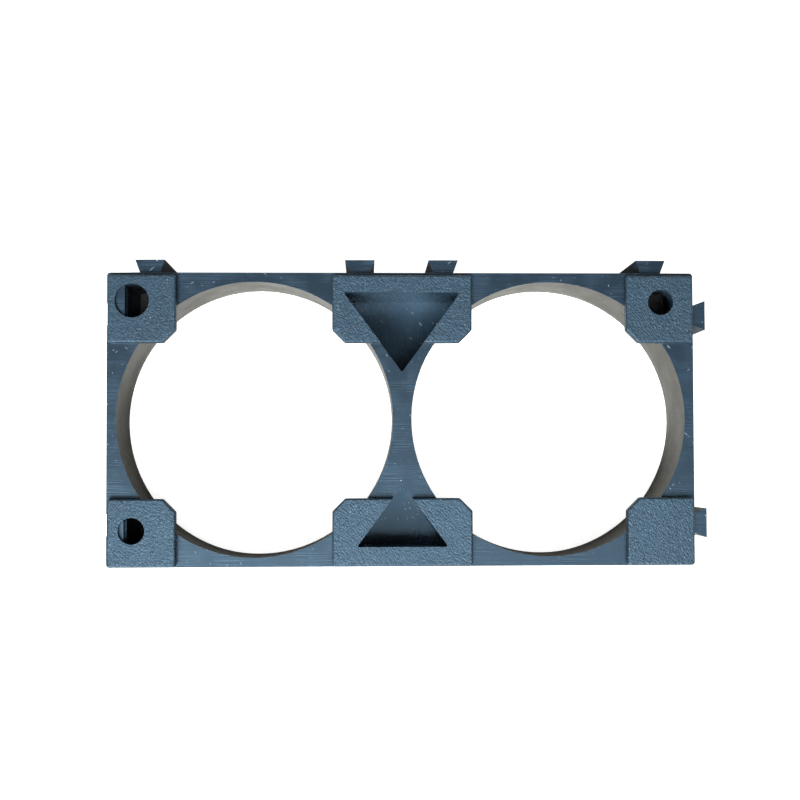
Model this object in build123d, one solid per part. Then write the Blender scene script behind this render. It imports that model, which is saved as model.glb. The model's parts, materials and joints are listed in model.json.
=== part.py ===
from build123d import *
import math
import os

# Two-cell holder bracket: a moulded frame that spaces cylindrical cells on a square grid.
# Millimetres. Origin at the centre of the back face, between the two bores. +X runs along the row of
# cells, +Y points to the long side with the keys, +Z runs from the open back to the stop tabs.

# Cells and grid
cell_diameter = 32.2        # 32650 / 32700 format cell in its sleeve
cell_clearance = 0.1        # radial, in the straight stretch of a bore
cell_count = 2
web_wall = 2.2              # thinnest wall between neighbouring bores
lead_in_height = 2.5        # flared mouth of a bore, at the back
lead_in = 0.25              # radial, how far the mouth flares
body_height = 9.0
body_corner_radius = 0.4

# Stop tabs on the front
tab_thickness = 1.0
stop_overhang = 2.27        # how far a tab's bevelled corner reaches over a bore
tab_bevel = 1.5
tab_inset = 0.24            # tab's edge to the body's side
tab_offset = -0.18          # the tabs sit this far off the middle, towards the grooved long side
tab_corner_radius = 0.35
tab_edge_round = 0.25

# Dovetail keys and grooves
key_inset = 4.95            # key's centre line to the nearest corner of the cell's square
key_height = 1.58
key_root_width = 2.3
key_tip_width = 3.5
key_clearance = 0.15        # on every side of a key inside its groove
key_drop = 0.4              # a key's front end lies this far under the body's front

# Pockets
wall = 1.1                  # shell left between a corner pocket and a bore or a side with keys
groove_backing = 0.45       # wall left behind a groove's floor
corner_roof = 1.0           # plate left between a corner pocket and the body's front
corner_pocket_radius = 0.4
web_floor = 1.5             # plate left under a web pocket
web_pocket_angle = 53.4     # degrees, a web pocket's base to its sloping side
web_pocket_radius = 0.15
upper_pocket_rim = 2.45     # web pocket's base to the side with the keys
upper_pocket_wall = 0.75    # web pocket to the mouth of a bore
lower_pocket_rim = 2.35     # web pocket's base to the side with the grooves
lower_pocket_wall = 2.05

# Screw holes: side in x, side in y, distance in from each side, diameter
screw_holes = (
    (-1, 1, 3.1, 3.45, 4.0),
    (1, 1, 4.1, 3.6, 3.0),
    (-1, -1, 3.1, 4.3, 3.1),
)
screw_ledge_depth = 0.15    # how far a screw hole runs on into a wall beside its pocket

# Derived sizes
bore_radius = cell_diameter / 2 + cell_clearance
mouth_radius = bore_radius + lead_in
cell_pitch = 2 * bore_radius + web_wall
half_width = cell_pitch / 2
half_length = cell_count * cell_pitch / 2
total_height = body_height + tab_thickness
stop_radius = bore_radius - stop_overhang
tab_reach = half_width - (stop_radius / math.sqrt(2) - tab_bevel / 2)
groove_depth = key_height + key_clearance
flank_slope = (key_tip_width - key_root_width) / 2 / key_height
groove_mouth_width = key_root_width + 2 * key_clearance
groove_floor_width = groove_mouth_width + 2 * flank_slope * groove_depth
groove_wall = groove_depth + groove_backing
corner_pocket_height = body_height - corner_roof
cut_margin = 1.0            # run-out of a cutting solid past the face it opens

cell_centres = [cell_pitch * (i - (cell_count - 1) / 2) for i in range(cell_count)]
inner_webs = [cell_pitch * (i - cell_count / 2) for i in range(1, cell_count)]
key_offset = half_width - key_inset
long_side_stations = [x + side * key_offset for x in cell_centres for side in (-1, 1)]
short_side_stations = [-key_offset, key_offset]


def prism(points, height, base=0.0):
    """Upright solid on a closed outline."""
    outline = make_face(Polyline(*points, close=True))
    return extrude(Pos(0, 0, base) * outline, height)


def body_block():
    """Plain block with rounded upright corners."""
    outline = RectangleRounded(2 * half_length, 2 * half_width, body_corner_radius)
    return extrude(outline, body_height)


def bore(x):
    """Straight bore of one cell with a flared mouth at the back, as a turned profile."""
    flare = lead_in * cut_margin / lead_in_height
    profile = [
        (0, -cut_margin),
        (mouth_radius + flare, -cut_margin),
        (bore_radius, lead_in_height),
        (bore_radius, body_height + cut_margin),
        (0, body_height + cut_margin),
    ]
    half_section = Plane.XZ * make_face(Polyline(*profile, close=True))
    return Pos(x, 0, 0) * revolve(half_section, Axis.Z)


def dovetail(root_width, tip_width, height, length):
    """Upright dovetail that stands out along +Y from the origin, with a sunk root to join or cut cleanly."""
    slope = (tip_width - root_width) / 2 / height
    sunk = root_width / 2 - slope * cut_margin
    points = [
        (-sunk, -cut_margin),
        (sunk, -cut_margin),
        (tip_width / 2, height),
        (-tip_width / 2, height),
    ]
    return prism(points, length)


def key():
    return dovetail(key_root_width, key_tip_width, key_height, body_height - key_drop)


def groove():
    return dovetail(groove_mouth_width, groove_floor_width, groove_depth, body_height)


def keys():
    """Keys on the +Y side and on the +X side."""
    top = [Pos(x, half_width, 0) * key() for x in long_side_stations]
    right = [Pos(half_length, y, 0) * Rot(0, 0, -90) * key() for y in short_side_stations]
    return top + right


def grooves():
    """Grooves in the -Y side and in the -X side, each where a neighbour's key comes."""
    bottom = [Pos(x, -half_width, 0) * groove() for x in long_side_stations]
    left = [Pos(-half_length, y, 0) * Rot(0, 0, -90) * groove() for y in short_side_stations]
    return bottom + left


def corner_pocket(side_x, side_y):
    """Hollow from the back in one outer corner, bounded by the bore's shell and the two side walls."""
    wall_x = groove_wall if side_x < 0 else wall
    wall_y = groove_wall if side_y < 0 else wall
    x_out = side_x * (half_length - wall_x)
    y_out = side_y * (half_width - wall_y)
    x_cell = side_x * (half_length - half_width)
    block = prism([(x_cell, 0), (x_out, 0), (x_out, y_out), (x_cell, y_out)], corner_pocket_height)
    shell = Pos(x_cell, 0, body_height / 2) * Cylinder(mouth_radius + wall, body_height + 2 * cut_margin)
    pocket = block - shell
    return fillet(pocket.edges().filter_by(Axis.Z), corner_pocket_radius)


def web_pocket(web_x, side_y, rim, side_wall):
    """Blind triangular hollow from the front between two bores, its apex towards the bores' centre line."""
    angle = math.radians(web_pocket_angle)
    base_y = half_width - rim
    reach = mouth_radius + side_wall
    apex_y = (reach - half_width * math.sin(angle)) / math.cos(angle)
    half_base = (base_y - apex_y) / math.tan(angle)
    points = [
        (web_x - half_base, side_y * base_y),
        (web_x + half_base, side_y * base_y),
        (web_x, side_y * apex_y),
    ]
    pocket = prism(points, total_height - web_floor + cut_margin, web_floor)
    return fillet(pocket.edges().filter_by(Axis.Z), web_pocket_radius)


def bevelled_outline(x_low, x_high, y_low, y_high, bevelled):
    """Rectangle with a straight bevel at each corner named in bevelled as (side in x, side in y)."""
    points = []
    for side_x, side_y in ((-1, -1), (1, -1), (1, 1), (-1, 1)):
        x = x_high if side_x > 0 else x_low
        y = y_high if side_y > 0 else y_low
        if (side_x, side_y) not in bevelled:
            points.append((x, y))
            continue
        along_x = (x - side_x * tab_bevel, y)
        along_y = (x, y - side_y * tab_bevel)
        points += [along_y, along_x] if side_x == side_y else [along_x, along_y]
    return points


def tab_plate(x_low, x_high, side_y, bevelled):
    """Tab on the front along one long side: corners rounded in plan, front edge rounded over."""
    y_edge = side_y * (half_width - tab_inset) + tab_offset
    y_inner = side_y * (half_width - tab_reach) + tab_offset
    points = bevelled_outline(x_low, x_high, min(y_edge, y_inner), max(y_edge, y_inner), bevelled)
    tab = prism(points, tab_thickness, body_height)
    tab = fillet(tab.edges().filter_by(Axis.Z), tab_corner_radius)
    return fillet(tab.faces().sort_by(Axis.Z)[-1].edges(), tab_edge_round)


def corner_tab(side_x, side_y):
    """Stop tab on one outer corner, bevelled where it reaches over the bore."""
    x_edge = side_x * (half_length - tab_inset)
    x_inner = side_x * (half_length - tab_reach)
    return tab_plate(min(x_edge, x_inner), max(x_edge, x_inner), side_y, [(-side_x, -side_y)])


def web_tab(web_x, side_y):
    """Wide stop tab across the web, serving the bores on both sides of it."""
    return tab_plate(web_x - tab_reach, web_x + tab_reach, side_y, [(-1, -side_y), (1, -side_y)])


def screw_hole(side_x, side_y, from_x, from_y, diameter):
    """Hole through a corner tab into the pocket behind it."""
    depth = tab_thickness + corner_roof + screw_ledge_depth
    centre = Pos(side_x * (half_length - from_x), side_y * (half_width - from_y), total_height - depth)
    return extrude(centre * Circle(diameter / 2), depth + cut_margin)


def cell_holder():
    part = body_block() + keys()
    part -= [bore(x) for x in cell_centres] + grooves()
    part -= [corner_pocket(sx, sy) for sx in (-1, 1) for sy in (-1, 1)]
    part += [corner_tab(sx, sy) for sx in (-1, 1) for sy in (-1, 1)]
    part += [web_tab(x, sy) for x in inner_webs for sy in (-1, 1)]
    for x in inner_webs:
        part -= web_pocket(x, 1, upper_pocket_rim, upper_pocket_wall)
        part -= web_pocket(x, -1, lower_pocket_rim, lower_pocket_wall)
    part -= [screw_hole(*row) for row in screw_holes]
    return part


os.makedirs("parts", exist_ok=True)
holder = cell_holder().solid()
holder.label = "cell_holder"
export_step(holder, "parts/cell_holder.step")
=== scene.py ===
"""Two-cell holder bracket in black moulded plastic, lying on its open back under soft studio light."""

import json
import math

import bpy
from bpy.props import FloatProperty, FloatVectorProperty, IntProperty, PointerProperty
from bpy.types import Operator, Panel, PropertyGroup
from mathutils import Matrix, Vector

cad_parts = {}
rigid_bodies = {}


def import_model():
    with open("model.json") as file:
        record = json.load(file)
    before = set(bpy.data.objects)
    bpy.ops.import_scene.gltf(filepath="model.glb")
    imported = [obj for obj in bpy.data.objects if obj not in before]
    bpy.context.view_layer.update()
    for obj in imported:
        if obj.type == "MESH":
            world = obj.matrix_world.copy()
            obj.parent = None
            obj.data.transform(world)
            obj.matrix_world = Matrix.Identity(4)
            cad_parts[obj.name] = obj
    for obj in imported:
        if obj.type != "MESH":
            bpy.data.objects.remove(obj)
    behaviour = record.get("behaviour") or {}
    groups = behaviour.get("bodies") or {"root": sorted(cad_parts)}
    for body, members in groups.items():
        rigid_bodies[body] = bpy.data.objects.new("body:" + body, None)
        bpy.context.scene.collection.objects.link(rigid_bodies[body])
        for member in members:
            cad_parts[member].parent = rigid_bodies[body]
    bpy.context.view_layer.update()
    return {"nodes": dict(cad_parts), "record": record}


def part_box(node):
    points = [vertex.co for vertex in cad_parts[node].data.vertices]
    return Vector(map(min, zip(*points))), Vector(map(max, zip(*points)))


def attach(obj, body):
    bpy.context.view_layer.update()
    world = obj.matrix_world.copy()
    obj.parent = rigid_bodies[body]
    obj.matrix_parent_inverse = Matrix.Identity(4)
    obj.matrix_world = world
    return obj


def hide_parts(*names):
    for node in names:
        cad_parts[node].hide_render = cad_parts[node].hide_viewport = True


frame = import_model()

bl_info = {
    "name": "Cell Holder Bracket",
    "version": (1, 0, 0),
    "blender": (4, 5, 0),
    "location": "View3D > Sidebar > Cell Holder",
    "description": "Builds the finish of a moulded two-cell holder bracket and its studio",
    "category": "Object",
}

MM = 0.001
NODE = "cell_holder"
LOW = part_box(NODE)[0]


def mount(name):
    """The record's mount of that name."""
    return next(m for m in frame["record"]["mounts"] if m["name"] == name)


CELL_X = mount("cell_bore_right")["pos_m"][0]
BORE_RADIUS = mount("cell_bore_right")["dims"]["r_mm"] * MM
BODY_TOP = mount("screw_hole_top_left")["pos_m"][2]

# Lights: where they stand from the bracket and the strip's size, in metres, and their colour
SOFTBOX_PLACE = Vector((-0.30, -0.68, 1.0))
STRIP_PLACE = Vector((0.06, -0.26, 1.0))
STRIP_SIZE = (0.6, 0.3)
LAMP_COLOUR = (0.90, 0.96, 1.0)

# Ceiling: the way to its dark part, which is darkest within the first angle of that way and ends at the
# second
CEILING_AXIS = Vector((0.25, 0.42, 0.87))
CEILING_DARK = math.radians(22)
CEILING_END = math.radians(50)

# Plastic: the tint of its gloss, and the finish that the body shares with the ledges
BLUE_SHEEN = (0.52, 0.77, 1.0)
BODY_FINISH = "smooth_black_plastic"

# Surfaces: a bore's wall reaches this far outside its radius at most and ends this far below the body's
# top, the tabs start this far above it, and the web pockets' floors lie between these heights over the back
BORE_REACH = 0.4 * MM
TOP_EDGE = 0.08 * MM
TAB_FOOT = 0.05 * MM
WEB_FLOOR = (1.2 * MM, 2.0 * MM)

# Normals: a face is level where its normal's Z reaches the first, up or down, and looks down below the second
LEVEL = 0.9995
DOWNWARD = -0.5

# Edges: points this near are merged and faces this flat are joined, then edges sharper than this are rounded
# and those as short as this are cleared
SAME_POINT = 0.002 * MM
SAME_PLANE = math.radians(0.4)
SHARP_EDGE = math.radians(40)
EMPTY_EDGE = 0.001 * MM

# Ledges in the screw holes that lie over a groove: height over the body's top, thickness, reach into the wall
SCREW_HOLES_OVER_GROOVES = ("screw_hole_top_left", "screw_hole_bottom_left")
LEDGE_LOW = 0.1 * MM
LEDGE_THICKNESS = 0.4 * MM
LEDGE_OVERLAP = 0.05 * MM


# ---------------------------------------------------------------- settings


class HolderMouldingSettings(PropertyGroup):
    """Edges and shading of the moulding."""

    edge_round: FloatProperty(
        name="Edge round",
        description="Radius left on the moulding's sharp edges",
        default=0.07 * MM,
        min=0.0,
        unit="LENGTH",
        precision=5,
    )
    edge_segments: IntProperty(
        name="Edge segments",
        description="Faces across each rounded edge",
        default=2,
        min=1,
        max=6,
    )
    smooth_angle: FloatProperty(
        name="Smooth angle",
        description="Faces that meet flatter than this are shaded smooth",
        default=math.radians(32),
        unit="ROTATION",
    )
    ledge_edge: FloatProperty(
        name="Ledge edge",
        description="Where along X the ledges in the screw holes end, over the groove's wall",
        default=-32.42 * MM,
        unit="LENGTH",
        precision=5,
    )


class HolderPlasticSettings(PropertyGroup):
    """Colour and finish of the black plastic."""

    # Black plastic: the blue tint in the body, tab and pocket colours is painted reflection of bluish window
    # light
    body_colour: FloatVectorProperty(
        name="Body colour",
        description="Plastic on the smooth faces",
        subtype="COLOR",
        size=3,
        min=0.0,
        max=1.0,
        default=(0.0042, 0.0086, 0.0140),
    )
    tab_colour: FloatVectorProperty(
        name="Tab colour",
        description="Plastic on the grained tabs",
        subtype="COLOR",
        size=3,
        min=0.0,
        max=1.0,
        default=(0.0092, 0.0190, 0.0290),
    )
    # Painted light: the pockets' plastic is a lighter copy, over three times the body colour, standing in for
    # light reaching the pockets
    pocket_colour: FloatVectorProperty(
        name="Pocket colour",
        description="Plastic on the floors and walls of the web pockets",
        subtype="COLOR",
        size=3,
        min=0.0,
        max=1.0,
        default=(0.015, 0.029, 0.043),
    )
    # Painted reflection: black plastic given a warm brown tint that stands in for the warm floor the bore
    # walls mirror
    bore_colour: FloatVectorProperty(
        name="Bore colour",
        description="Plastic on the bore walls",
        subtype="COLOR",
        size=3,
        min=0.0,
        max=1.0,
        default=(0.022, 0.019, 0.014),
    )
    # Pale colour of the dust, scuffs and worn edges, and also of the painted glints on the tabs
    dust_and_glint_colour: FloatVectorProperty(
        name="Dust and glint colour",
        description="Fine dust and scuffs on the plastic",
        subtype="COLOR",
        size=3,
        min=0.0,
        max=1.0,
        default=(0.30, 0.36, 0.42),
    )
    grain_size: FloatProperty(
        name="Grain size",
        description="Distance between the bumps of the spark-eroded grain on the tabs",
        default=0.18 * MM,
        min=0.05 * MM,
        unit="LENGTH",
        precision=5,
    )
    grain_height: FloatProperty(
        name="Grain height",
        description="Height of the grain's bumps",
        default=0.085 * MM,
        min=0.0,
        unit="LENGTH",
        precision=5,
    )
    tool_line_pitch: FloatProperty(
        name="Tool line pitch",
        description="Distance between the fine milled lines on the smooth faces",
        default=0.24 * MM,
        min=0.05 * MM,
        unit="LENGTH",
        precision=5,
    )
    body_roughness: FloatProperty(
        name="Body roughness",
        description="Roughness of the smooth faces",
        default=0.41,
        min=0.0,
        max=1.0,
    )
    tab_roughness: FloatProperty(
        name="Tab roughness",
        description="Roughness of the grained tabs",
        default=0.47,
        min=0.0,
        max=1.0,
    )
    pocket_roughness: FloatProperty(
        name="Pocket roughness",
        description="Roughness of the web pockets",
        default=0.30,
        min=0.0,
        max=1.0,
    )
    bore_roughness: FloatProperty(
        name="Bore roughness",
        description="Roughness of the polished bore walls",
        default=0.38,
        min=0.0,
        max=1.0,
    )


class HolderStudioSettings(PropertyGroup):
    """Floor, lights and camera."""

    floor_colour: FloatVectorProperty(
        name="Floor colour",
        description="Plain pale floor",
        subtype="COLOR",
        size=3,
        min=0.0,
        max=1.0,
        default=(0.54, 0.515, 0.47),
    )
    floor_glow: FloatProperty(
        name="Floor glow",
        description="Even light of the backlit floor where it lies open",
        default=1.0,
        min=0.0,
    )
    floor_size: FloatProperty(
        name="Floor size",
        description="Side of the square floor",
        default=2.4,
        min=0.5,
        unit="LENGTH",
    )
    surround: FloatProperty(
        name="Surround",
        description="Strength of the even light from the sides",
        default=0.6,
        min=0.0,
    )
    ceiling: FloatProperty(
        name="Ceiling",
        description="Strength of the dark part of the ceiling that the flat faces mirror",
        default=0.08,
        min=0.0,
    )
    softbox_power: FloatProperty(
        name="Softbox power",
        description="Power of the large softbox at the front left",
        default=43.0,
        min=0.0,
        unit="POWER",
    )
    softbox_size: FloatProperty(
        name="Softbox size",
        description="Side of the square softbox",
        default=0.6,
        min=0.1,
        unit="LENGTH",
    )
    strip_power: FloatProperty(
        name="Strip power",
        description="Power of the faint strip light above the front edge",
        default=4.4,
        min=0.0,
        unit="POWER",
    )
    focal_length: FloatProperty(
        name="Focal length",
        description="Camera lens on a 36 mm sensor",
        default=50.73,
        min=10.0,
        subtype="DISTANCE_CAMERA",
        unit="CAMERA",
    )
    lens_shift: FloatVectorProperty(
        name="Lens shift",
        description="Sideways and upward shift of the lens, in widths of the view",
        size=2,
        precision=5,
        default=(0.00425, 0.0477),
    )
    camera_place: FloatVectorProperty(
        name="Camera place",
        description="Where the camera stands, from the middle of the back face",
        subtype="TRANSLATION",
        unit="LENGTH",
        size=3,
        default=(-4.34 * MM, -5.68 * MM, 141.57 * MM),
    )
    camera_turn: FloatVectorProperty(
        name="Camera turn",
        description="Camera tilt from looking straight down",
        subtype="EULER",
        unit="ROTATION",
        size=3,
        default=(math.radians(1.4915), math.radians(-1.5868), math.radians(-0.1568)),
    )


# ---------------------------------------------------------------- node helpers


def add_node(tree, kind, place=(0, 0), **values):
    """New node; values are its properties."""
    node = tree.nodes.new(kind)
    node.location = place
    for name, value in values.items():
        setattr(node, name, value)
    return node


def join(tree, source, target):
    """Link from an output socket to an input socket."""
    tree.links.new(source, target)


def maths(tree, operation, first, second=None, clamp=False):
    """Math node on sockets or numbers; gives its output socket."""
    node = add_node(tree, "ShaderNodeMath", operation=operation, use_clamp=clamp)
    for index, value in enumerate((first, second)):
        if value is None:
            continue
        if isinstance(value, (int, float)):
            node.inputs[index].default_value = value
        else:
            join(tree, value, node.inputs[index])
    return node.outputs[0]


def ramp(tree, value, low, high, out_low=0.0, out_high=1.0):
    """Smooth step of a value from low to high."""
    node = add_node(tree, "ShaderNodeMapRange", interpolation_type="SMOOTHSTEP")
    join(tree, value, node.inputs["Value"])
    for name, number in (("From Min", low), ("From Max", high), ("To Min", out_low), ("To Max", out_high)):
        node.inputs[name].default_value = number
    return node.outputs["Result"]


def blend_colour(tree, factor, first, second):
    """Mix of two colours by a factor socket or number."""
    node = add_node(tree, "ShaderNodeMix", data_type="RGBA")
    # Inputs 6 and 7 and output 2 are the node's colours
    for index, value in ((0, factor), (6, first), (7, second)):
        if hasattr(value, "links"):
            join(tree, value, node.inputs[index])
        elif isinstance(value, (int, float)):
            node.inputs[index].default_value = value
        else:
            node.inputs[index].default_value = (*value, 1.0)
    return node.outputs[2]


def mapped(tree, vector, scale=(1.0, 1.0, 1.0), turn=0.0):
    """Coordinates scaled and then turned about Z."""
    node = add_node(tree, "ShaderNodeMapping")
    node.inputs["Rotation"].default_value = (0, 0, turn)
    node.inputs["Scale"].default_value = scale
    join(tree, vector, node.inputs["Vector"])
    return node.outputs[0]


def counted_in(tree, vector, length):
    """Coordinates counted in steps of a length, which is a socket."""
    node = add_node(tree, "ShaderNodeVectorMath", operation="SCALE")
    join(tree, vector, node.inputs[0])
    join(tree, maths(tree, "DIVIDE", 1.0, length), node.inputs["Scale"])
    return node.outputs[0]


def noise(tree, vector, scale, detail=2.0, roughness=0.5, distortion=0.0):
    """Noise over a vector; gives its value socket."""
    node = add_node(tree, "ShaderNodeTexNoise")
    join(tree, vector, node.inputs["Vector"])
    node.inputs["Scale"].default_value = scale
    node.inputs["Detail"].default_value = detail
    node.inputs["Roughness"].default_value = roughness
    node.inputs["Distortion"].default_value = distortion
    return node.outputs["Fac"]


def new_group(name, inputs, outputs):
    """Shader node group with named float or vector sockets; gives the tree, its input and its output node."""
    tree = bpy.data.node_groups.new(name, "ShaderNodeTree")
    for label, kind, default in inputs:
        socket = tree.interface.new_socket(label, in_out="INPUT", socket_type=kind)
        if default is not None:
            socket.default_value = default
    for label, kind in outputs:
        tree.interface.new_socket(label, in_out="OUTPUT", socket_type=kind)
    return tree, add_node(tree, "NodeGroupInput"), add_node(tree, "NodeGroupOutput")


def placed(tree, name, **values):
    """Copy of a node group in a material, with its input values or links."""
    node = add_node(tree, "ShaderNodeGroup", node_tree=bpy.data.node_groups[name])
    for label, value in values.items():
        socket = node.inputs[label.replace("_", " ")]
        if hasattr(value, "links"):
            join(tree, value, socket)
        else:
            socket.default_value = value
    return node


# ---------------------------------------------------------------- shared effects


def make_spark_grain():
    """Rippled grain of a spark-eroded mould face, drawn out along a diagonal, with masks for painted glints
    and for painted shade in its pits.
    """
    inputs = [("Vector", "NodeSocketVector", None), ("Size", "NodeSocketFloat", 0.18 * MM)]
    outputs = [("Height", "NodeSocketFloat"), ("Glints", "NodeSocketFloat"), ("Pit shade", "NodeSocketFloat")]
    tree, given, result = new_group("spark_grain", inputs, outputs)
    turned = mapped(tree, given.outputs["Vector"], turn=math.radians(48))
    drawn_out = mapped(tree, turned, scale=(0.55, 1.1, 1.0))
    in_grains = counted_in(tree, drawn_out, given.outputs["Size"])
    ripple = noise(tree, in_grains, scale=1.0, detail=2.0, roughness=0.55, distortion=0.4)
    join(tree, ripple, result.inputs["Height"])
    swell = noise(tree, in_grains, scale=0.12, detail=2.0, roughness=0.6)
    # Painted glints: sparse pale specks that stand in for highlights on the grain
    spark = noise(tree, given.outputs["Vector"], scale=5200.0, detail=1.0)
    glint = maths(tree, "MULTIPLY", ramp(tree, spark, 0.64, 0.74), ramp(tree, swell, 0.40, 0.62, 0.2, 1.0))
    join(tree, glint, result.inputs["Glints"])
    # Painted shade: mask of the grain's low points, where the colour is darkened
    join(tree, ramp(tree, ripple, 0.30, 0.50, 1.0, 0.0), result.inputs["Pit shade"])


def make_tool_lines():
    """Fine lines left by the cutter along X in the mould's smooth faces."""
    inputs = [("Vector", "NodeSocketVector", None), ("Pitch", "NodeSocketFloat", 0.24 * MM)]
    tree, given, result = new_group("tool_lines", inputs, [("Height", "NodeSocketFloat")])
    drawn_out = mapped(tree, given.outputs["Vector"], scale=(0.03, 2.0, 2.0))
    in_lines = counted_in(tree, drawn_out, given.outputs["Pitch"])
    lines = noise(tree, in_lines, scale=1.0, detail=1.0, roughness=0.5)
    crisp = ramp(tree, lines, 0.34, 0.66)
    patches = noise(tree, given.outputs["Vector"], scale=420.0, detail=3.0)
    shown = ramp(tree, patches, 0.36, 0.64, 0.12, 1.0)
    join(tree, maths(tree, "MULTIPLY", crisp, shown), result.inputs["Height"])


def make_dust():
    """Sparse pale specks and short hairline scuffs."""
    inputs = [("Vector", "NodeSocketVector", None), ("Amount", "NodeSocketFloat", 0.5)]
    tree, given, result = new_group("dust_and_scuffs", inputs, [("Mask", "NodeSocketFloat")])
    fine = noise(tree, given.outputs["Vector"], scale=3000.0, detail=1.0, roughness=0.5)
    drift = noise(tree, given.outputs["Vector"], scale=170.0, detail=3.0, roughness=0.6)
    speck = maths(tree, "MULTIPLY", ramp(tree, fine, 0.715, 0.79), ramp(tree, drift, 0.42, 0.60, 0.15, 1.0))
    scuffs = None
    for angle, scale in ((-38, 1000.0), (41, 900.0)):
        turned = mapped(tree, given.outputs["Vector"], turn=math.radians(angle))
        along = mapped(tree, turned, scale=(1.0, 4.0, 4.0))
        line = ramp(tree, noise(tree, along, scale, detail=0.0), 0.83, 0.88)
        scuffs = line if scuffs is None else maths(tree, "MAXIMUM", scuffs, line)
    scuffs = maths(tree, "MULTIPLY", scuffs, 0.5)
    both = maths(tree, "MAXIMUM", speck, scuffs)
    join(tree, maths(tree, "MULTIPLY", both, given.outputs["Amount"]), result.inputs["Mask"])


def make_edge_wear():
    """Mask of the exposed edges, broken up by a fine noise."""
    inputs = [("Vector", "NodeSocketVector", None), ("Reach", "NodeSocketFloat", 0.12 * MM)]
    tree, given, result = new_group("edge_wear", inputs, [("Mask", "NodeSocketFloat")])
    rounded = add_node(tree, "ShaderNodeBevel", samples=4)
    join(tree, given.outputs["Reach"], rounded.inputs["Radius"])
    true_normal = add_node(tree, "ShaderNodeNewGeometry")
    facing = add_node(tree, "ShaderNodeVectorMath", operation="DOT_PRODUCT")
    join(tree, rounded.outputs[0], facing.inputs[0])
    join(tree, true_normal.outputs["Normal"], facing.inputs[1])
    edge = ramp(tree, facing.outputs["Value"], 0.80, 0.985, 1.0, 0.0)
    patches = noise(tree, given.outputs["Vector"], scale=900.0, detail=3.0)
    broken = ramp(tree, patches, 0.38, 0.62, 0.25, 1.0)
    join(tree, maths(tree, "MULTIPLY", edge, broken), result.inputs["Mask"])


def make_shared_effects():
    """Every node group that the finishes share."""
    make_spark_grain()
    make_tool_lines()
    make_dust()
    make_edge_wear()


# ---------------------------------------------------------------- finishes


def new_finish(name, roughness, specular=0.6, tint=(1.0, 1.0, 1.0)):
    """Material with an empty Principled surface; gives the material, its tree, the shader and the place."""
    material = bpy.data.materials.new(name)
    material.use_nodes = True
    tree = material.node_tree
    shader = tree.nodes["Principled BSDF"]
    shader.inputs["Roughness"].default_value = roughness
    shader.inputs["Specular IOR Level"].default_value = specular
    shader.inputs["Specular Tint"].default_value = (*tint, 1.0)
    place = add_node(tree, "ShaderNodeTexCoord", (-900, 0)).outputs["Object"]
    return material, tree, shader, place


def mottled(tree, place, colour, spread, scale):
    """Colour with soft lighter and darker patches."""
    patches = noise(tree, place, scale, detail=4.0, roughness=0.6)
    darker = tuple(c * (1 - spread) for c in colour)
    lighter = tuple(min(1.0, c * (1 + spread)) for c in colour)
    return blend_colour(tree, ramp(tree, patches, 0.3, 0.7), darker, lighter)


def bump(tree, height, distance, strength=1.0):
    """Relief of a height socket, distance deep; gives the normal."""
    node = add_node(tree, "ShaderNodeBump")
    node.inputs["Strength"].default_value = strength
    node.inputs["Distance"].default_value = distance
    join(tree, height, node.inputs["Height"])
    return node.outputs[0]


def used(tree, place, plastic, colour, dust, wear=0.0):
    """Colour under the pale marks of use: worn edges first, then dust and scuffs."""
    pale = tuple(plastic.dust_and_glint_colour)
    if wear:
        edges = placed(tree, "edge_wear", Vector=place).outputs["Mask"]
        colour = blend_colour(tree, maths(tree, "MULTIPLY", edges, wear), colour, pale)
    specks = placed(tree, "dust_and_scuffs", Vector=place, Amount=dust).outputs["Mask"]
    return blend_colour(tree, specks, colour, pale)


def grained_tab_finish(plastic):
    """Spark-eroded black plastic of the tabs."""
    name = "grained_black_plastic"
    material, tree, shader, place = new_finish(name, plastic.tab_roughness, tint=BLUE_SHEEN)
    grain = placed(tree, "spark_grain", Vector=place, Size=plastic.grain_size)
    colour = mottled(tree, place, tuple(plastic.tab_colour), spread=0.14, scale=260.0)
    # Painted shade in the grain's low points: the tab colour darkened to 0.35
    pit_shade = tuple(c * 0.35 for c in plastic.tab_colour)
    colour = blend_colour(tree, grain.outputs["Pit shade"], colour, pit_shade)
    # Painted highlight: the glints are blended into the base colour in the pale dust and glint colour
    glint = maths(tree, "MULTIPLY", grain.outputs["Glints"], 0.35)
    colour = blend_colour(tree, glint, colour, tuple(plastic.dust_and_glint_colour))
    colour = used(tree, place, plastic, colour, dust=0.35, wear=0.10)
    join(tree, colour, shader.inputs["Base Color"])
    relief = bump(tree, grain.outputs["Height"], distance=plastic.grain_height)
    join(tree, relief, shader.inputs["Normal"])
    return material


def smooth_finish(plastic, name, colour, roughness, depth=1.0, turn=0.0):
    """Smooth black plastic; its tool lines run along X before the turn, and depth 0 hides them."""
    material, tree, shader, place = new_finish(name, roughness, tint=BLUE_SHEEN)
    along = mapped(tree, place, turn=turn)
    lines = placed(tree, "tool_lines", Vector=along, Pitch=plastic.tool_line_pitch)
    height = maths(tree, "MULTIPLY", lines.outputs["Height"], depth)
    base = mottled(tree, place, tuple(colour), spread=0.22, scale=190.0)
    base = blend_colour(tree, height, base, tuple(c * 1.8 for c in colour))
    base = used(tree, place, plastic, base, dust=0.8, wear=0.10)
    join(tree, base, shader.inputs["Base Color"])
    rough = ramp(tree, height, 0.0, 1.0, roughness - 0.04, roughness + 0.06)
    join(tree, rough, shader.inputs["Roughness"])
    join(tree, bump(tree, height, distance=0.007 * MM), shader.inputs["Normal"])
    return material


def smooth_body_finish(plastic):
    """Body and keys."""
    return smooth_finish(plastic, BODY_FINISH, plastic.body_colour, plastic.body_roughness)


def web_pocket_finish(plastic):
    """Floors and walls of the web pockets, drawn across the body's tool lines; their lighter colour is
    painted light in the pockets.
    """
    colour, roughness = plastic.pocket_colour, plastic.pocket_roughness
    return smooth_finish(plastic, "drawn_black_plastic", colour, roughness, depth=0.3, turn=math.radians(90))


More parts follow.
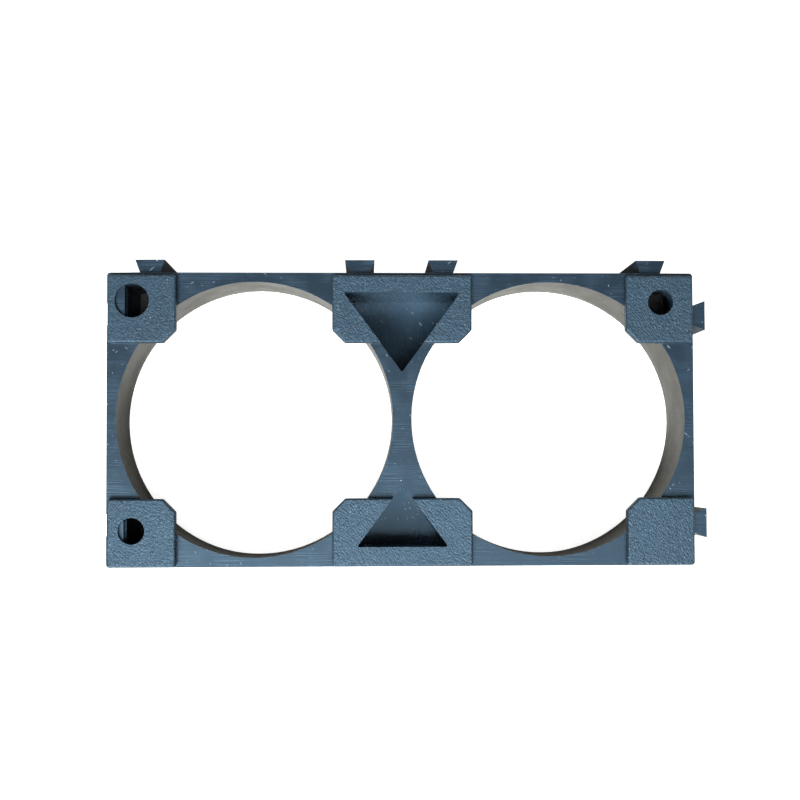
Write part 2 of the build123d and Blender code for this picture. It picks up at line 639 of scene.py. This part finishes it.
def polished_bore_finish(plastic):
    """Glossy bore walls; their warm brown tint is a painted reflection of the floor."""
    name = "polished_black_plastic"
    material, tree, shader, place = new_finish(name, plastic.bore_roughness, specular=0.32)
    cloud = noise(tree, place, scale=320.0, detail=4.0, roughness=0.6)
    colour = mottled(tree, place, tuple(plastic.bore_colour), spread=0.2, scale=210.0)
    colour = used(tree, place, plastic, colour, dust=0.35)
    join(tree, colour, shader.inputs["Base Color"])
    low, high = plastic.bore_roughness - 0.03, plastic.bore_roughness + 0.05
    join(tree, ramp(tree, cloud, 0.35, 0.68, low, high), shader.inputs["Roughness"])
    join(tree, bump(tree, cloud, distance=0.02 * MM, strength=0.1), shader.inputs["Normal"])
    return material


def plain_floor_finish(studio):
    """Matt pale floor that glows white to the camera wherever it lies open to the sky, with painted shade
    where it is boxed in.
    """
    material, tree, shader, place = new_finish("pale_floor", roughness=0.9, specular=0.1)
    colour = tuple(studio.floor_colour)
    tone = noise(tree, place, scale=3.0, detail=2.0)
    darker = tuple(c * 0.985 for c in colour)
    sky = add_node(tree, "ShaderNodeAmbientOcclusion", samples=8)
    sky.inputs["Distance"].default_value = 0.05
    # Painted shade: where the floor is boxed in under the bracket, its colour is turned nearly black
    boxed_in_shade = ramp(tree, sky.outputs["AO"], 0.05, 0.30, 0.85, 0.0)
    base = blend_colour(tree, boxed_in_shade, blend_colour(tree, tone, darker, colour), (0.02, 0.02, 0.02))
    join(tree, base, shader.inputs["Base Color"])
    # The glow reaches camera rays only and covers the floor's own shadows with even white where it lies open
    seen = add_node(tree, "ShaderNodeLightPath").outputs["Is Camera Ray"]
    lying_open = maths(tree, "MULTIPLY", ramp(tree, sky.outputs["AO"], 0.13, 0.27), seen)
    join(tree, lying_open, shader.inputs["Emission Color"])
    shader.inputs["Emission Strength"].default_value = studio.floor_glow
    return material


# ---------------------------------------------------------------- pieces


def deselect_all():
    """Leaves edit mode and selects nothing."""
    if bpy.context.object and bpy.context.object.mode != "OBJECT":
        bpy.ops.object.mode_set(mode="OBJECT")
    bpy.ops.object.select_all(action="DESELECT")


def apply_modifier(piece, modifier):
    """Makes a modifier part of the piece's mesh."""
    bpy.context.view_layer.objects.active = piece
    bpy.ops.object.modifier_apply(modifier=modifier.name)


def drop_empty_faces(piece):
    """Clears the faces without area that the edge rounding leaves where three edges meet."""
    bpy.context.view_layer.objects.active = piece
    bpy.ops.object.mode_set(mode="EDIT")
    bpy.ops.mesh.select_all(action="SELECT")
    bpy.ops.mesh.dissolve_degenerate(threshold=EMPTY_EDGE)
    bpy.ops.object.mode_set(mode="OBJECT")


def copy_of_node(name, node):
    """Copy of a CAD node with its own mesh, its loose triangles merged into whole faces."""
    deselect_all()
    source = frame["nodes"][node]
    source.select_set(True)
    bpy.context.view_layer.objects.active = source
    bpy.ops.object.duplicate(linked=False)
    piece = bpy.context.view_layer.objects.active
    piece.name = name
    piece.data.name = name
    for key in list(piece.keys()):
        if key.startswith("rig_"):
            del piece[key]
    bpy.ops.object.parent_clear(type="CLEAR_KEEP_TRANSFORM")
    bpy.ops.object.mode_set(mode="EDIT")
    bpy.ops.mesh.select_all(action="SELECT")
    bpy.ops.mesh.remove_doubles(threshold=SAME_POINT)
    bpy.ops.mesh.customdata_custom_splitnormals_clear()
    bpy.ops.mesh.dissolve_limited(angle_limit=SAME_PLANE, use_dissolve_boundaries=False)
    bpy.ops.object.mode_set(mode="OBJECT")
    return piece


def on_bore_wall(face):
    """True for a face of a cell bore's wall."""
    centre = face.center
    reach = math.hypot(abs(centre.x) - CELL_X, centre.y)
    level = abs(face.normal.z) >= LEVEL
    return not level and reach < BORE_RADIUS + BORE_REACH and centre.z < BODY_TOP - TOP_EDGE


def on_tab(face):
    """True for a face of a stop tab."""
    raised = face.center.z > BODY_TOP + TAB_FOOT
    return raised and face.normal.z > DOWNWARD and not in_web_pocket(face)


def in_web_pocket(face):
    """True for a face that starts on the floor of a web pocket."""
    lowest = min(face.id_data.vertices[i].co.z for i in face.vertices)
    return WEB_FLOOR[0] < lowest - LOW.z < WEB_FLOOR[1] and not on_bore_wall(face)


def give_finish(piece, material, wanted):
    """Gives a material to the faces that wanted picks."""
    bpy.context.view_layer.objects.active = piece
    bpy.ops.object.material_slot_add()
    piece.material_slots[-1].material = material
    piece.active_material_index = len(piece.material_slots) - 1
    for face in piece.data.polygons:
        face.select = wanted(face)
    bpy.ops.object.mode_set(mode="EDIT")
    bpy.ops.mesh.select_mode(type="FACE")
    bpy.ops.object.material_slot_assign()
    bpy.ops.mesh.select_all(action="DESELECT")
    bpy.ops.object.mode_set(mode="OBJECT")


class HOLDER_OT_moulding(Operator):
    """Builds the one-piece moulding and gives each of its surfaces its finish"""

    bl_idname = "holder.moulding"
    bl_label = "Build Moulding"

    def execute(self, context):
        settings = context.scene.holder_moulding
        plastic = context.scene.holder_plastic
        make_shared_effects()
        piece = copy_of_node("moulded_bracket", NODE)
        piece.data.materials.clear()
        round_edges = piece.modifiers.new("edge_round", "BEVEL")
        round_edges.width = settings.edge_round
        round_edges.segments = settings.edge_segments
        round_edges.limit_method = "ANGLE"
        round_edges.angle_limit = SHARP_EDGE
        round_edges.use_clamp_overlap = True
        apply_modifier(piece, round_edges)
        drop_empty_faces(piece)
        give_finish(piece, smooth_body_finish(plastic), lambda face: True)
        give_finish(piece, grained_tab_finish(plastic), on_tab)
        give_finish(piece, polished_bore_finish(plastic), on_bore_wall)
        give_finish(piece, web_pocket_finish(plastic), in_web_pocket)
        bpy.ops.object.shade_smooth_by_angle(angle=settings.smooth_angle)
        flat_faces = piece.modifiers.new("flat_faces_stay_flat", "WEIGHTED_NORMAL")
        flat_faces.mode = "FACE_AREA"
        flat_faces.weight = 100
        flat_faces.keep_sharp = True
        apply_modifier(piece, flat_faces)
        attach(piece, "root")
        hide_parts(NODE)
        return {"FINISHED"}


def hole_ledge(centre, radius, edge_x):
    """Part of a flat disc left of edge_x, sunk in the tab's hole; gives the object."""
    deselect_all()
    place = (centre[0], centre[1], BODY_TOP + LEDGE_LOW + LEDGE_THICKNESS / 2)
    wide = radius + LEDGE_OVERLAP
    bpy.ops.mesh.primitive_cylinder_add(vertices=48, radius=wide, depth=LEDGE_THICKNESS, location=place)
    bpy.ops.object.mode_set(mode="EDIT")
    bpy.ops.mesh.select_all(action="SELECT")
    bpy.ops.mesh.bisect(plane_co=(edge_x, 0, 0), plane_no=(1, 0, 0), use_fill=True, clear_outer=True)
    bpy.ops.object.mode_set(mode="OBJECT")
    bpy.ops.object.transform_apply(location=True, rotation=True, scale=True)
    return bpy.context.view_layer.objects.active


class HOLDER_OT_ledges(Operator):
    """Builds the ledges that close the screw holes where they lie over a groove"""

    bl_idname = "holder.ledges"
    bl_label = "Build Hole Ledges"

    def execute(self, context):
        settings = context.scene.holder_moulding
        holes = [mount(name) for name in SCREW_HOLES_OVER_GROOVES]
        ledges = [hole_ledge(hole["pos_m"], hole["dims"]["r_mm"] * MM, settings.ledge_edge) for hole in holes]
        for ledge in ledges:
            ledge.select_set(True)
        bpy.ops.object.join()
        piece = bpy.context.view_layer.objects.active
        piece.name = "screw_hole_ledges"
        piece.data.materials.append(bpy.data.materials[BODY_FINISH])
        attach(piece, "root")
        return {"FINISHED"}


# ---------------------------------------------------------------- stage


def studio_surround(studio):
    """World light: even all round, and dark in one part of the ceiling."""
    world = bpy.data.worlds.new("studio_surround")
    world.use_nodes = True
    tree = world.node_tree
    direction = add_node(tree, "ShaderNodeTexCoord").outputs["Generated"]
    facing = add_node(tree, "ShaderNodeVectorMath", operation="DOT_PRODUCT")
    facing.inputs[1].default_value = CEILING_AXIS.normalized()
    join(tree, direction, facing.inputs[0])
    end, dark = math.cos(CEILING_END), math.cos(CEILING_DARK)
    strength = ramp(tree, facing.outputs["Value"], end, dark, studio.surround, studio.ceiling)
    join(tree, strength, tree.nodes["Background"].inputs["Strength"])
    tree.nodes["Background"].inputs["Color"].default_value = (1.0, 1.0, 1.0, 1.0)
    return world


def area_light(name, place, size, power):
    """Rectangular light that points at the bracket."""
    lamp = bpy.data.lights.new(name, "AREA")
    lamp.shape = "RECTANGLE"
    lamp.size, lamp.size_y = size
    lamp.energy = power
    lamp.color = LAMP_COLOUR
    light = bpy.data.objects.new(name, lamp)
    bpy.context.scene.collection.objects.link(light)
    light.location = place
    light.rotation_euler = (-place).to_track_quat("-Z", "Y").to_euler()


class HOLDER_OT_stage(Operator):
    """Sets the pale floor, the soft lights and the camera"""

    bl_idname = "holder.stage"
    bl_label = "Set Stage"

    def execute(self, context):
        studio = context.scene.holder_studio
        deselect_all()
        bpy.ops.mesh.primitive_plane_add(size=studio.floor_size, location=(0, 0, LOW.z))
        floor = context.active_object
        floor.name = "floor"
        floor.data.materials.append(plain_floor_finish(studio))

        context.scene.world = studio_surround(studio)
        context.scene.view_settings.view_transform = "Standard"
        side = studio.softbox_size
        area_light("softbox", SOFTBOX_PLACE, (side, side), studio.softbox_power)
        area_light("strip_light", STRIP_PLACE, STRIP_SIZE, studio.strip_power)

        lens = bpy.data.cameras.new("camera")
        lens.sensor_width = 36.0
        lens.lens = studio.focal_length
        lens.shift_x, lens.shift_y = studio.lens_shift
        lens.clip_start = 0.01
        lens.clip_end = 20.0
        camera = bpy.data.objects.new("camera", lens)
        context.scene.collection.objects.link(camera)
        camera.location = studio.camera_place
        camera.rotation_euler = studio.camera_turn
        context.scene.camera = camera
        return {"FINISHED"}


class HOLDER_PT_sidebar(Panel):
    """Sizes, colours and build steps of the bracket"""

    bl_label = "Cell Holder"
    bl_space_type = "VIEW_3D"
    bl_region_type = "UI"
    bl_category = "Cell Holder"

    def draw(self, context):
        for operator, group in STEPS:
            box = self.layout.box()
            for owner in group:
                settings = getattr(context.scene, owner)
                for name in settings.__annotations__:
                    box.prop(settings, name)
            box.operator(operator)


STEPS = (
    ("holder.moulding", ("holder_moulding", "holder_plastic")),
    ("holder.ledges", ()),
    ("holder.stage", ("holder_studio",)),
)
GROUPS = {
    "holder_moulding": HolderMouldingSettings,
    "holder_plastic": HolderPlasticSettings,
    "holder_studio": HolderStudioSettings,
}
CLASSES = (*GROUPS.values(), HOLDER_OT_moulding, HOLDER_OT_ledges, HOLDER_OT_stage, HOLDER_PT_sidebar)


def register():
    """Adds the settings, operators and panel."""
    for each in CLASSES:
        bpy.utils.register_class(each)
    for name, group in GROUPS.items():
        setattr(bpy.types.Scene, name, PointerProperty(type=group))


def unregister():
    """Takes the settings, operators and panel away again."""
    for name in GROUPS:
        delattr(bpy.types.Scene, name)
    for each in reversed(CLASSES):
        bpy.utils.unregister_class(each)


def main():
    """Builds the bracket and its stage."""
    register()
    bpy.ops.holder.moulding()
    bpy.ops.holder.ledges()
    bpy.ops.holder.stage()


if __name__ == "__main__":
    main()
